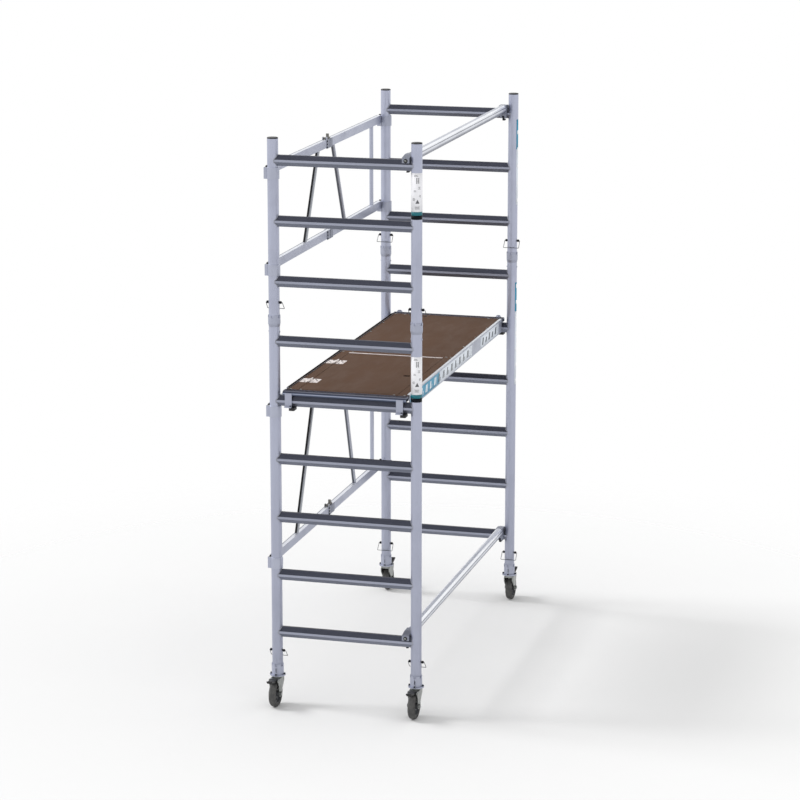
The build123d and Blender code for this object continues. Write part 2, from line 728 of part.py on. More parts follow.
def cross_members(beams):
    """Box sections between the side beams, under the panel."""
    made = []
    reach = DECK_HALF_WIDTH - BEAM_SHEET
    low = BEAM_BOTTOM + 6
    for y in CROSS_MEMBERS_Y:
        member = block(-reach, reach, y - 15, y + 15, low, PANEL_BOTTOM)
        member -= block(-reach - 1, reach + 1, y - 12, y + 12, low + 3, PANEL_BOTTOM - 7)
        for beam in beams:
            member -= beam
        made.append(member)
    return made


def build_platform():
    """The platform deck with its hatch, hooks and wind locks."""
    right = side_beam()
    beams = [right, mirror(right, Plane.YZ)]
    front = end_beam()
    frame = hatch_frame()
    members = cross_members(beams)
    save("deck_side_beams", beams)
    save("deck_end_beams", [front, mirror(front, Plane.XZ)])
    save("deck_cross_members", [m - frame[1] - frame[0] - frame[3] for m in members])
    save("deck_panel", [deck_panel()])
    save("hatch_frame", frame)
    save("hatch_hinge_plates", hinge_plates())
    save("hatch_lid", [hatch_lid()])
    save("hatch_hinge_straps", hinge_straps())
    hooks = [Pos(x, 0, 0) * deck_hook() for x in (-HOOK_X, HOOK_X)]
    save("deck_hooks", hooks + [mirror(hook, Plane.XZ) for hook in hooks])
    for side, x in (("left", -HOOK_X), ("right", HOOK_X)):
        latch = Pos(x, 0, 0) * wind_lock()
        save(f"wind_lock_front_{side}", [latch])
        save(f"wind_lock_rear_{side}", [mirror(latch, Plane.XZ)])


# -------------------------------------------------------------------- braces


def brace_claw():
    """The claw at a brace's front end, with the heights counted from the rung's widest line."""
    outline = [
        (-HALF_Y + CLAW_BACK, 2),
        (-HALF_Y + CLAW_BACK, 42),
        (-HALF_Y + 20, 42),
        (-HALF_Y - 28, 33),
        (-HALF_Y - 32, 28),
        (-HALF_Y - 32, 8),
        (-HALF_Y - 21, 8),
        (-HALF_Y - 9, 22.5),
        (-HALF_Y + 9, 22.5),
        (-HALF_Y + 25, 3),
        (-HALF_Y + 25, -26),
        (-HALF_Y + 40, -26),
        (-HALF_Y + 44, -2),
    ]
    w = CLAW_HALF_WIDTH
    claw = side_plate(outline, -w, w)
    plug = BRACE_RADIUS - POST_WALL - 0.1
    start, end = -HALF_Y + CLAW_BACK, -HALF_Y + CLAW_PLUG_END
    claw += rod(plug, (0, start, BRACE_RISE), (0, end, BRACE_RISE))
    claw -= block(-6, 6, -HALF_Y + 24, -HALF_Y + 42, -27, -13)
    return claw - trigger_axis(TRIGGER_PIN_RADIUS + FIT_CLEARANCE, w + 1)


def trigger_axis(radius, half):
    """A round bar along the trigger's axis."""
    y, z = -HALF_Y + TRIGGER_PIVOT[0], TRIGGER_PIVOT[1]
    return rod(radius, (-half, y, z), (half, y, z))


def claw_pin():
    """The pin that the trigger swings on."""
    return trigger_axis(TRIGGER_PIN_RADIUS, CLAW_HALF_WIDTH + 1)


def brace_trigger():
    """The sprung trigger in the claw, which reaches under the rung."""
    outline = [
        (-HALF_Y + 37, -21),
        (-HALF_Y + 36, -34),
        (-HALF_Y + 31, -39),
        (-HALF_Y + 2, -39),
        (-HALF_Y + 2, -33),
        (-HALF_Y + 24, -33),
        (-HALF_Y + 28, -28),
        (-HALF_Y + 28, -21),
    ]
    w = TRIGGER_HALF_WIDTH
    trigger = side_plate(outline, -w, w) + trigger_axis(5, w)
    return trigger - trigger_axis(TRIGGER_PIN_RADIUS + 0.06, w + 1)


def build_braces():
    """Two horizontal tubes on the right, each clipped to a front and a rear rung."""
    tubes = []
    claws = []
    for number in BRACE_RUNGS:
        level = Pos(BRACE_X, 0, rung_z(number))
        reach = HALF_Y - CLAW_BACK
        tube = pipe(BRACE_RADIUS, POST_WALL, (0, -reach, BRACE_RISE), (0, reach, BRACE_RISE))
        tubes.append(level * tube)
        for piece in (level * brace_claw(), level * claw_pin()):
            claws += [piece, mirror(piece, Plane.XZ)]
        trigger = level * brace_trigger()
        height = "lower" if number == min(BRACE_RUNGS) else "upper"
        save(f"brace_trigger_{height}_front", [trigger])
        save(f"brace_trigger_{height}_rear", [mirror(trigger, Plane.XZ)])
    save("brace_tubes", tubes)
    save("brace_claws", claws)


# --------------------------------------------------------- folding side frame


def rail(y0, y1, z):
    """A rectangular rail of one leaf."""
    x0, x1 = RAIL_X - RAIL_HALF_WIDTH, RAIL_X + RAIL_HALF_WIDTH
    z0, z1 = z - RAIL_HALF_HEIGHT, z + RAIL_HALF_HEIGHT
    t = RAIL_WALL
    bar = block(x0, x1, y0, y1, z0, z1) - block(x0 + t, x1 - t, y0 - 1, y1 + 1, z0 + t, z1 - t)
    return bar - fold_relief(z)


def fold_axis(radius, z0, z1):
    """A round bar along the mid hinge's axis."""
    return rod(radius, (FOLD_AXIS_X, 0, z0), (FOLD_AXIS_X, 0, z1))


def fold_relief(z):
    """The room that the mid hinge's barrels need to turn in."""
    return fold_axis(KNUCKLE_RADIUS + FOLD_RELIEF, z - RAIL_HALF_HEIGHT - 1, z + RAIL_HALF_HEIGHT + 1)


def strut(y_low, y_high, rails):
    """A round strut between the two rails, cut flush with them."""
    low, high = rails
    bar = pipe(STRUT_RADIUS, 2.0, (RAIL_X, y_low, low), (RAIL_X, y_high, high))
    reach = STRUT_RADIUS + 2
    y0, y1 = min(y_low, y_high) - 60, max(y_low, y_high) + 60
    for z0, z1 in ((low - 60, low + RAIL_HALF_HEIGHT), (high - RAIL_HALF_HEIGHT, high + 60)):
        bar -= block(RAIL_X - reach, RAIL_X + reach, y0, y1, z0, z1)
    return bar


def sleeve(y, z, inward):
    """A sleeve on a left-hand post, with the block that takes a rail's end."""
    centre = z - SLEEVE_BELOW_RAIL
    z0, z1 = centre - SLEEVE_HALF_HEIGHT, centre + SLEEVE_HALF_HEIGHT
    shape = rod(SLEEVE_RADIUS, (-HALF_X, y, z0), (-HALF_X, y, z1))
    near, far = sorted((y - inward * SLEEVE_BLOCK_HALF, y + inward * 28))
    shape += block(-HALF_X - SLEEVE_BLOCK_OUT, -HALF_X - 16, near, far, z0, z1)
    return shape - rod(SLEEVE_BORE, (-HALF_X, y, z0 - 1), (-HALF_X, y, z1 + 1))


def fold_knuckle(z, side):
    """One half of a mid hinge: a strap on the rail's outer face and its barrel."""
    out = RAIL_X - RAIL_HALF_WIDTH
    face = out - FOLD_STRAP
    z0, z1 = (z - 19, z - 0.3) if side < 0 else (z + 0.3, z + 19)
    shape = block(face, out, side * LEAF_GAP, side * 38, z - 17, z + 17) - fold_relief(z)
    shape += fold_axis(KNUCKLE_RADIUS, z0, z1)
    shape += block(face, out, 0, side * 8, z0, z1)
    if side > 0:
        return shape - fold_axis(FOLD_PIN_RADIUS + 0.06, z - 30, z + 30)
    return shape + fold_axis(FOLD_PIN_RADIUS, z - 20, z + 20)


def latch_ears(z):
    """The two ears on a rail's top that hold the fold latch."""
    top = z + RAIL_HALF_HEIGHT
    y0, y1 = LATCH_PIVOT_Y - 8, LATCH_PIVOT_Y + 8
    pieces = [latch_axis(z, LATCH_PIN_RADIUS, 12)]
    for side in (-1, 1):
        x = RAIL_X + side * 9.5
        ear = block(x - 1.5, x + 1.5, y0, y1, top, top + 13)
        pieces.append(ear - latch_axis(z, LATCH_PIN_RADIUS + 0.02, 14))
    return pieces


def latch_axis(z, radius, half):
    """A round bar along the fold latch's axis."""
    height = z + RAIL_HALF_HEIGHT + LATCH_PIVOT_RISE
    return rod(radius, (RAIL_X - half, LATCH_PIVOT_Y, height), (RAIL_X + half, LATCH_PIVOT_Y, height))


def fold_latch(z):
    """The latch that lies over the split in a rail, with its finger tab."""
    top = z + RAIL_HALF_HEIGHT
    x0, x1 = RAIL_X - LATCH_HALF_WIDTH, RAIL_X + LATCH_HALF_WIDTH
    y = LATCH_PIVOT_Y
    arm = [(y, top + 3), (24, top + 1), (24, top + 5), (y, top + 9)]
    tab = [(-4, top + 3), (3, top + 3), (1, top + 24), (-2, top + 24)]
    latch = latch_axis(z, 4.5, LATCH_HALF_WIDTH) + side_plate(arm, x0, x1) + side_plate(tab, x0, x1)
    return latch - latch_axis(z, LATCH_PIN_RADIUS + 0.06, 14)


def front_leaf(rails, upright_y, diagonal, latch_rail):
    """The leaf that swings on the front left post."""
    pieces = []
    for z in rails:
        pieces.append(rail(-HALF_Y + 28, -LEAF_GAP, z))
        pieces.append(sleeve(-HALF_Y, z, 1))
        pieces.append(fold_knuckle(z, -1))
    pieces.append(strut(upright_y, upright_y, rails))
    pieces.append(strut(diagonal[0], diagonal[1], rails))
    return pieces + latch_ears(latch_rail)


def rear_leaf(rails, upright_y, diagonal):
    """The leaf that folds on the mid hinge; its rear end is free of the rear post's sleeves."""
    pieces = []
    for z in rails:
        pieces.append(rail(LEAF_GAP, HALF_Y - 28 - OPEN_PIVOT_GAP, z))
        pieces.append(fold_knuckle(z, 1))
    pieces.append(strut(upright_y, upright_y, rails))
    pieces.append(strut(diagonal[0], diagonal[1], rails))
    return pieces


def build_side_frames():
    """The lower and upper folding frames on the left, and the sleeves on the rear post."""
    near_upright = -HALF_Y + 140
    far_upright = HALF_Y - 178
    lower_latch, upper_latch = LOWER_RAILS[0], UPPER_RAILS[1]
    save("side_frame_lower_front", front_leaf(LOWER_RAILS, near_upright, (-562, -218), lower_latch))
    save("side_frame_lower_rear", rear_leaf(LOWER_RAILS, far_upright, (450, 197)))
    save("side_frame_upper_front", front_leaf(UPPER_RAILS, near_upright, (-394, -155), upper_latch))
    save("side_frame_upper_rear", rear_leaf(UPPER_RAILS, far_upright, (291, 77)))
    save("fold_latch_lower", [fold_latch(lower_latch)])
    save("fold_latch_upper", [fold_latch(upper_latch)])
    save("rear_post_sleeves", [sleeve(HALF_Y, z, -1) for z in LOWER_RAILS + UPPER_RAILS])


os.makedirs("parts", exist_ok=True)
build_end_frames()
build_casters()
build_platform()
build_braces()
build_side_frames()
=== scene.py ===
import math

import bmesh
import bpy
from mathutils import Matrix, Vector


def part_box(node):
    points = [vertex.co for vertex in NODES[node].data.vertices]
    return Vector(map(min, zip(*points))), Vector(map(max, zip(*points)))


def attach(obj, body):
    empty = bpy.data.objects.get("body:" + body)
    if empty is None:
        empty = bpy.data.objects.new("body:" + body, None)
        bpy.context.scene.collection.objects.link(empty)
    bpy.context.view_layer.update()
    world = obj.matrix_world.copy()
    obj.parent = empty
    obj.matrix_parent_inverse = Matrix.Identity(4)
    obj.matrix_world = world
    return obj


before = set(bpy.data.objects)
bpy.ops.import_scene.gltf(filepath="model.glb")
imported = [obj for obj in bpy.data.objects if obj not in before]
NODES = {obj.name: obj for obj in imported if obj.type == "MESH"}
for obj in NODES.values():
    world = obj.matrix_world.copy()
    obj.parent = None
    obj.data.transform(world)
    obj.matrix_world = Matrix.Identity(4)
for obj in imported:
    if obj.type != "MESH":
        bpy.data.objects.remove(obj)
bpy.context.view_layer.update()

# Sizes in metres that a box of the frame doesn't give
POST_RADIUS = 0.0254
RUNG_PITCH = 0.280
RUNG_OUTLINE = ((0.011, -0.029), (0.023, -0.011), (0.023, 0.0), (0.007, 0.020))  # half of it, (y, z)
RAIL_OUT = 0.0275  # from a left post's middle out to the side frames' rails
RAIL_HALF_WIDTH = 0.011
RAILS = {"side_frame_lower": (0.709, 1.440), "side_frame_upper": (2.105, 2.553)}  # heights
CLAW_HEIGHT = 0.068

# Places, worked out from the frame
HALF_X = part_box("lower_posts")[1].x - POST_RADIUS
HALF_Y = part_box("lower_posts")[1].y - POST_RADIUS
DECK_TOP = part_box("deck_panel")[1].z
BEAM_LOW, BEAM_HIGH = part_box("deck_side_beams")
HATCH_LOW, HATCH_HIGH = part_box("hatch_lid")
RUNG_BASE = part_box("lower_rungs")[0].z
RAIL_X = -HALF_X - RAIL_OUT
CORNERS = {
    "front_left": (-HALF_X, -HALF_Y),
    "front_right": (HALF_X, -HALF_Y),
    "rear_left": (-HALF_X, HALF_Y),
    "rear_right": (HALF_X, HALF_Y),
}


def srgb(red, green, blue):
    """A colour given as it looks on a screen, 0 to 255, as linear RGBA."""
    def linear(value):
        share = value / 255
        return share / 12.92 if share <= 0.04045 else ((share + 0.055) / 1.055) ** 2.4

    return (linear(red), linear(green), linear(blue), 1.0)


def shade(colour, factor):
    """The same colour, lighter or darker."""
    return tuple(min(1.0, c * factor) for c in colour[:3]) + (1.0,)


# ----------------------------------------------------------------- materials


class Graph:
    """A material's nodes, with short ways to add them and join them up."""

    def __init__(self, name):
        self.material = bpy.data.materials.new(name)
        self.material.use_nodes = True
        self.tree = self.material.node_tree
        self.shader = self.tree.nodes["Principled BSDF"]
        coords = self.add("ShaderNodeTexCoord")
        self.place = coords.outputs["Object"]
        self.facing = coords.outputs["Normal"]

    def add(self, kind, **settings):
        node = self.tree.nodes.new(kind)
        for key, value in settings.items():
            setattr(node, key, value)
        return node

    def put(self, socket, value):
        if isinstance(value, bpy.types.NodeSocket):
            self.tree.links.new(value, socket)
        else:
            socket.default_value = value

    def uniform(self, **values):
        """Set values that are the same all over, on the shader's own sockets."""
        for key, value in values.items():
            self.shader.inputs[key.replace("_", " ")].default_value = value

    def stretched(self, stretch):
        node = self.add("ShaderNodeMapping")
        self.put(node.inputs["Vector"], self.place)
        node.inputs["Scale"].default_value = stretch
        return node.outputs["Vector"]

    def noise(self, scale, detail=2.0, stretch=(1, 1, 1)):
        node = self.add("ShaderNodeTexNoise")
        self.put(node.inputs["Vector"], self.stretched(stretch))
        node.inputs["Scale"].default_value = scale
        node.inputs["Detail"].default_value = detail
        return node.outputs["Fac"]

    def cells(self, scale, stretch=(1, 1, 1)):
        node = self.add("ShaderNodeTexVoronoi")
        self.put(node.inputs["Vector"], self.stretched(stretch))
        node.inputs["Scale"].default_value = scale
        return node.outputs["Distance"]

    def draw_lines(self, grain):
        """The fine lines of an extruded surface, long where the grain is small."""
        return self.noise(260, 3, grain)

    def waves(self, scale, axis):
        node = self.add("ShaderNodeTexWave", bands_direction=axis)
        self.put(node.inputs["Vector"], self.place)
        node.inputs["Scale"].default_value = scale
        return node.outputs["Fac"]

    def axis(self, vector, name):
        node = self.add("ShaderNodeSeparateXYZ")
        self.put(node.inputs[0], vector)
        return node.outputs[name]

    def upward(self):
        """1 on faces that look up, 0 on the others."""
        return self.span(self.axis(self.facing, "Z"), 0.6, 0.9)

    def maths(self, operation, a, b=0.0):
        node = self.add("ShaderNodeMath", operation=operation)
        self.put(node.inputs[0], a)
        self.put(node.inputs[1], b)
        return node.outputs[0]

    def span(self, value, low, high, to_low=0.0, to_high=1.0):
        """Map low..high to to_low..to_high, held at the ends."""
        node = self.add("ShaderNodeMapRange")
        self.put(node.inputs["Value"], value)
        node.inputs["From Min"].default_value = low
        node.inputs["From Max"].default_value = high
        node.inputs["To Min"].default_value = to_low
        node.inputs["To Max"].default_value = to_high
        return node.outputs["Result"]

    def mix(self, factor, a, b):
        node = self.add("ShaderNodeMix", data_type="RGBA")
        self.put(node.inputs[0], factor)
        self.put(node.inputs[6], a)
        self.put(node.inputs[7], b)
        return node.outputs[2]

    def dimmed(self, colour, factor):
        """A colour socket, darker by a factor."""
        node = self.add("ShaderNodeMix", data_type="RGBA", blend_type="MULTIPLY")
        self.put(node.inputs[0], 1.0)
        self.put(node.inputs[6], colour)
        node.inputs[7].default_value = (factor, factor, factor, 1.0)
        return node.outputs[2]

    def colour(self, value):
        self.put(self.shader.inputs["Base Color"], value)

    def painted(self):
        """The colour socket that the shader has so far."""
        return self.shader.inputs["Base Color"].links[0].from_socket

    def roughness(self, value):
        self.put(self.shader.inputs["Roughness"], value)

    def bump(self, *layers):
        """Stack bumps, each a height, a strength and a distance in metres."""
        below = None
        for height, strength, distance in layers:
            node = self.add("ShaderNodeBump")
            self.put(node.inputs["Height"], height)
            node.inputs["Strength"].default_value = strength
            node.inputs["Distance"].default_value = distance
            if below:
                self.put(node.inputs["Normal"], below)
            below = node.outputs["Normal"]
        self.put(self.shader.inputs["Normal"], below)


DRAWN_METALLIC = 0.85


def drawn_metal(name, colour, grain, rough=(0.34, 0.5), scratch=0.3):
    """Extruded aluminium: fine draw lines along the grain, dull smudges and a few scratches."""
    g = Graph(name)
    lines = g.draw_lines(grain)
    scratches = g.noise(900, 1, tuple(s * 0.35 for s in grain))
    smudges = g.noise(7, 4)
    patches = g.noise(1.3, 2)
    tint = g.mix(lines, shade(colour, 0.93), shade(colour, 1.06))
    dull = g.mix(g.span(smudges, 0.5, 0.78), tint, shade(colour, 0.88))
    g.colour(g.mix(g.span(patches, 0.35, 0.75, 0, 0.35), dull, shade(colour, 1.1)))
    g.roughness(g.span(g.maths("ADD", smudges, lines), 0.7, 1.35, *rough))
    g.uniform(Metallic=DRAWN_METALLIC)
    g.bump((lines, scratch * 0.8, 0.0001), (g.span(scratches, 0.66, 0.72), scratch, 0.00008))
    return g


def post_material():
    """Round aluminium tube, drawn along its length, with painted shade darkening it towards the floor.
    """
    g = drawn_metal("post_aluminium", srgb(180, 184, 202), (1, 1, 0.02))
    plain = g.painted()
    # Painted shade: the colour darkens to 0.82 of itself towards the floor.
    g.colour(g.mix(g.span(g.axis(g.place, "Z"), 0.2, 1.3, 1, 0), plain, g.dimmed(plain, 0.82)))
    return g.material


def rung_material():
    """Ribbed rungs: treads above darkened with painted shade in place of the grooves' shadow, plain
    facets below them, and painted shade on the undersides.
    """
    plain = srgb(164, 168, 184)
    # Painted shade: the tread colour stands in for the ribs' shadow, and the under colour for shade on
    # the undersides.
    tread = srgb(58, 60, 74)
    under = srgb(128, 132, 146)
    g = Graph("rung_aluminium")
    lines = g.draw_lines((0.02, 1, 1))
    wear = g.noise(9, 5, (0.6, 1, 1))
    up = g.axis(g.facing, "Z")
    body = g.mix(g.span(up, -0.5, -0.12), under, plain)
    # The painted tread shade, lightened at random where worn.
    worn_tread_shade = g.mix(g.span(wear, 0.6, 0.8, 0, 0.4), tread, shade(tread, 1.6))
    body = g.mix(g.span(up, 0.12, 0.3), body, worn_tread_shade)
    g.colour(g.mix(g.span(lines, 0.35, 0.6), g.dimmed(body, 0.86), body))
    g.roughness(g.span(g.maths("ADD", wear, lines), 0.7, 1.35, 0.36, 0.55))
    g.uniform(Metallic=0.8)
    g.bump((lines, 0.25, 0.0001))
    return g.material


def inner_metal():
    """The deck's cross members."""
    return drawn_metal("inner_aluminium", srgb(168, 172, 186), (0.02, 1, 1)).material


def end_beam_metal():
    """Deck end beams: a ribbed face darkened with painted groove shade, with lighter lines along it,
    and a dark brown top, lighter at random.
    """
    g = Graph("end_beam_aluminium")
    # Painted shade: the face's dark tone stands in for shadow in the ribs' grooves.
    painted_shade = srgb(84, 92, 112)
    line = srgb(158, 165, 184)
    ribs = g.waves(27, "Z")
    wear = g.noise(9, 5, (0.6, 1, 1))
    lines = g.draw_lines((0.02, 1, 1))
    body = g.mix(g.span(ribs, 0.5, 0.8), painted_shade, line)
    body = g.mix(g.span(wear, 0.6, 0.8, 0, 0.3), body, shade(painted_shade, 1.8))
    top = g.upward()
    g.colour(g.mix(top, body, g.mix(wear, srgb(30, 24, 22), srgb(66, 52, 44))))
    g.roughness(g.span(g.maths("ADD", wear, lines), 0.7, 1.35, 0.32, 0.5))
    g.put(g.shader.inputs["Metallic"], g.span(top, 0, 1, 0.8, 0))
    g.uniform(Specular_IOR_Level=0.0)
    g.bump((ribs, 0.5, 0.0008), (lines, 0.25, 0.0001))
    return g.material


def side_beam_metal():
    """Deck side beams: painted shade on the top of the lip on the hinged side, and a painted highlight
    on the top of the other.
    """
    g = drawn_metal("deck_aluminium", srgb(176, 180, 192), (1, 0.02, 1))
    top = g.upward()
    across = g.axis(g.place, "X")
    # Painted shade on the left lip's top, and a painted highlight on the right lip's top.
    shaded_lip = g.maths("MULTIPLY", top, g.span(across, -0.10, -0.12))
    bright = g.maths("MULTIPLY", top, g.span(across, 0.10, 0.12))
    wear = g.noise(9, 5, (1, 0.3, 1))
    plain = g.mix(bright, g.painted(), srgb(226, 229, 234))
    g.colour(g.mix(shaded_lip, plain, g.mix(wear, srgb(22, 19, 18), srgb(44, 37, 33))))
    g.put(g.shader.inputs["Metallic"], g.span(shaded_lip, 0, 1, DRAWN_METALLIC, 0))
    g.uniform(Specular_IOR_Level=0.0)
    return g.material


def brace_metal():
    """Brace tubes: a painted highlight along the upper side below a darker crest, painted shade
    underneath, and a line along the side.
    """
    # Painted light: a highlight band on the upper side, a darker crest on top and shade on the
    # underside.
    painted_crest_shade, bright = srgb(170, 174, 186), srgb(240, 242, 246)
    under, line = srgb(128, 132, 146), srgb(96, 99, 108)
    line_height, line_half_width = 0.42, 0.07
    grain = (1, 0.02, 1)
    g = drawn_metal("brace_aluminium", srgb(205, 208, 216), grain, rough=(0.22, 0.34), scratch=0.06)
    up = g.axis(g.facing, "Z")
    body = g.mix(g.span(up, 0.45, 0.75), g.painted(), bright)
    body = g.mix(g.span(up, 0.88, 0.96), body, painted_crest_shade)
    body = g.mix(g.span(up, -0.25, 0.05, 1, 0), body, under)
    seam = g.maths("COMPARE", up, line_height)
    seam.node.inputs[2].default_value = line_half_width
    g.colour(g.mix(seam, body, line))
    return g.material


# Where the side frames' struts are: how far they reach along the rails from the split, and how
# far from the rails' middles they stay
STRUT_REACH = 0.60
STRUT_GAP = 0.0205


def side_frame_metal(name, painted_shade, light):
    """Rails of a side frame with a painted highlight on top, darker along the outer edge; its strut
    has painted shade in a band towards the front.
    """
    rail_edge = (RAIL_X - 0.0045, RAIL_X - 0.0065)
    band_edge = (RAIL_X + 0.0005, RAIL_X + 0.0050)
    g = drawn_metal(name, srgb(178, 182, 198), (1, 0.05, 0.3))
    across, along, height = (g.axis(g.place, axis) for axis in "XYZ")
    # Painted highlight on the rails' tops, darker towards their outer edge.
    top = g.mix(g.span(across, *rail_edge), srgb(232, 235, 242), srgb(132, 136, 148))
    body = g.mix(g.upward(), g.painted(), top)
    # Painted shade: a dark band on the outer side of the strut's front faces, in place of the tube's
    # shaded side.
    outer = g.span(across, *band_edge, 1, 0)
    ahead = g.span(g.axis(g.facing, "Y"), -0.22, -0.04, 1, 0)
    strut = g.mix(g.maths("MULTIPLY", outer, ahead), light, painted_shade)
    near = g.maths("LESS_THAN", g.maths("ABSOLUTE", along), STRUT_REACH)
    for low, high in RAILS.values():
        above = g.maths("GREATER_THAN", height, low + STRUT_GAP)
        below = g.maths("LESS_THAN", height, high - STRUT_GAP)
        inside = g.maths("MULTIPLY", above, below)
        body = g.mix(g.maths("MULTIPLY", near, inside), body, strut)
    g.colour(body)
    return g.material


def cast_metal(name, colour):
    """Cast aluminium: a fine sandy skin."""
    g = Graph(name)
    sand = g.noise(520, 4)
    clouds = g.noise(22, 3)
    tint = g.mix(clouds, shade(colour, 0.92), shade(colour, 1.08))
    g.colour(g.mix(g.span(sand, 0.3, 0.7), shade(colour, 0.93), tint))
    g.roughness(g.span(sand, 0.3, 0.7, 0.4, 0.6))
    g.uniform(Metallic=0.8)
    g.bump((sand, 0.35, 0.0004))
    return g.material


def zinc():
    """Zinc-plated steel sheet, with faint spangle and dull streaks."""
    g = Graph("zinc_steel")
    base = srgb(148, 151, 149)
    spangle = g.cells(160)
    streaks = g.noise(30, 4, (1, 1, 0.25))
    tint = g.mix(spangle, shade(base, 0.82), shade(base, 1.12))
    g.colour(g.mix(g.span(streaks, 0.5, 0.8), tint, shade(base, 0.6)))
    g.roughness(g.span(streaks, 0.3, 0.7, 0.25, 0.45))
    g.uniform(Metallic=0.95)
    g.bump((spangle, 0.08, 0.0003))
    return g.material


def hinge_leaf():
    """Pale plated hinge leaves with a worn pattern pressed into them."""
    g = Graph("hinge_leaf")
    pattern = g.cells(130, (1, 0.6, 1))
    wear = g.noise(60, 4)
    tint = g.mix(wear, srgb(206, 196, 192), srgb(244, 238, 236))
    g.colour(g.mix(g.span(pattern, 0.55, 0.75, 0, 0.6), tint, srgb(120, 98, 86)))
    g.roughness(g.span(wear, 0.3, 0.7, 0.4, 0.6))
    g.uniform(Metallic=0.25)
    g.bump((pattern, 0.3, 0.0004))
    return g.material


def spring_wire():
    """Drawn spring-steel wire."""
    g = Graph("wire_steel")
    base = srgb(84, 88, 90)
    lines = g.noise(400, 2)
    g.colour(g.mix(lines, shade(base, 0.7), shade(base, 1.25)))
    g.roughness(g.span(lines, 0.3, 0.7, 0.25, 0.4))
    g.uniform(Metallic=0.95)
    g.bump((lines, 0.2, 0.0001))
    return g.material


def dark_steel():
    """Blackened steel, rubbed brighter in places."""
    g = Graph("dark_steel")
    base = srgb(36, 37, 42)
    rub = g.noise(90, 5)
    g.colour(g.mix(g.span(rub, 0.56, 0.76), base, shade(base, 3)))
    g.roughness(g.span(rub, 0.4, 0.7, 0.55, 0.32))
    g.uniform(Metallic=0.7)
    g.bump((rub, 0.2, 0.0002))
    return g.material


def plastic(name, colour, rough=(0.42, 0.6)):
    """Moulded plastic with a fine leathery grain and a little dust."""
    g = Graph(name)
    grain = g.cells(700)
    dust = g.noise(35, 5)
    g.colour(g.mix(g.span(dust, 0.5, 0.85, 0, 0.5), colour, shade(colour, 2.2)))
    g.roughness(g.span(dust, 0.3, 0.7, *rough))
    g.uniform(Specular_IOR_Level=0.45)
    g.bump((grain, 0.3, 0.0003))
    return g.material


def rubber():
    """Grey tyre rubber, dusty on the tread and scuffed."""
    g = Graph("tyre_rubber")
    base = srgb(66, 66, 66)
    grain = g.noise(600, 3)
    scuffs = g.noise(45, 6)
    dusty = g.mix(g.span(scuffs, 0.42, 0.75), base, srgb(112, 111, 108))
    g.colour(g.mix(grain, shade(base, 0.8), dusty))
    g.roughness(g.span(scuffs, 0.3, 0.7, 0.62, 0.85))
    g.bump((grain, 0.35, 0.0003), (scuffs, 0.2, 0.0008))
    return g.material


def plywood():
    """Film-faced plywood: a brown film with a wire-mesh grip print, scuffed; dark sealed edges."""
    g = Graph("plywood")
    film = srgb(88, 67, 54)
    up = g.maths("ABSOLUTE", g.axis(g.facing, "Z"))
    mesh = g.maths("MULTIPLY", g.waves(62, "X"), g.waves(62, "Y"))
    clouds = g.noise(2.6, 4)
    scuffs = g.noise(16, 8, (1, 0.3, 1))
    tint = g.mix(clouds, shade(film, 0.9), shade(film, 1.1))
    tint = g.mix(g.span(scuffs, 0.6, 0.8, 0, 0.25), tint, shade(film, 1.3))
    tint = g.mix(g.span(mesh, 0.2, 0.8, 0, 0.16), tint, shade(film, 0.55))
    plies = g.waves(190, "Z")
    edge = g.mix(g.span(plies, 0.3, 0.7), srgb(30, 24, 20), srgb(60, 48, 40))
    g.colour(g.mix(g.span(up, 0.5, 0.9), edge, tint))
    g.roughness(g.span(scuffs, 0.35, 0.75, 0.55, 0.75))
    g.uniform(Specular_IOR_Level=0.03)
    g.bump((mesh, 0.35, 0.0005), (scuffs, 0.1, 0.0008))
    return g.material


def vinyl(name, colour, speck=0.85, gloss=0.5):
    """Printed vinyl: a smooth film with faint speckle and edge grime."""
    g = Graph(name)
    specks = g.noise(320, 3)
    grime = g.noise(28, 5)
    tint = g.mix(g.span(specks, 0.35, 0.65), shade(colour, speck + 0.08), colour)
    g.colour(g.mix(g.span(grime, 0.55, 0.8, 0, 0.35), tint, shade(colour, speck)))
    g.roughness(g.span(grime, 0.3, 0.7, 0.3, 0.46))
    g.uniform(Specular_IOR_Level=gloss)
    g.bump((grime, 0.05, 0.0003))
    return g.material


def weld_metal():
    """Bright weld beads with a rippled skin."""
    g = Graph("weld_metal")
    base = srgb(172, 174, 182)
    ripple = g.noise(420, 2)
    g.colour(g.mix(ripple, shade(base, 0.7), shade(base, 1.15)))
    g.roughness(g.span(ripple, 0.3, 0.7, 0.3, 0.5))
    g.uniform(Metallic=0.9)
    g.bump((ripple, 0.3, 0.0004))
    return g.material


